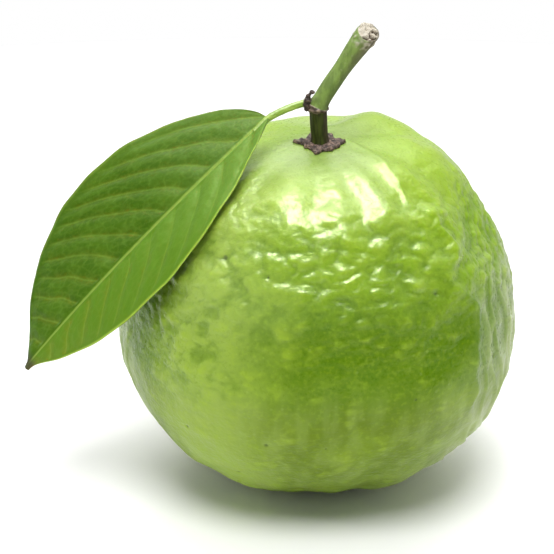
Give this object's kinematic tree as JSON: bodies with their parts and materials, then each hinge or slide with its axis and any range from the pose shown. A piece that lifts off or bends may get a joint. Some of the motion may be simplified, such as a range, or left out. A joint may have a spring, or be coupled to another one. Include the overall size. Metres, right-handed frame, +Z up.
{
  "type": "guava fruit",
  "caption": "Pale green guava with bumpy skin, picked with its stalk, a short cut twig and a folded drooping leaf, resting upright on a small flat.",
  "frame": {"origin": "middle of the small flat that the fruit rests on, under its centre of mass", "axes": "+Z up, away from the surface it rests on; the stalk end leans towards -Y; +X to the right when it is seen from -Y, with the leaf on the -X side"},
  "size_m": [0.1149, 0.093, 0.1127],
  "materials": {
    "fruit_skin": "waxy satin skin, translucent, pale yellow-green at the stalk end and deeper green round the middle, with fine lumps and dark specks",
    "leaf_blade": "satin green leaf, sunken pale side veins, yellow-green midrib and margin, paler underneath",
    "twig_bark": "smooth green-brown young bark, pale rough wood at the cut end",
    "stalk_bark": "dark olive-brown ridged stalk",
    "dried_bark": "dry dark brown scales, paler at the edges",
    "dried_sepal": "dry brown papery lobes, greenish at the foot"
  },
  "bodies": {
    "root": {"guava_fruit": "fruit_skin", "stalk_collar": "dried_bark", "fruit_stalk": "stalk_bark", "twig": "twig_bark", "bud": "dried_bark", "leaf": "leaf_blade", "sepal_1": "dried_sepal", "sepal_2": "dried_sepal", "sepal_3": "dried_sepal", "sepal_4": "dried_sepal", "sepal_5": "dried_sepal"}
  },
  "joints": []
}
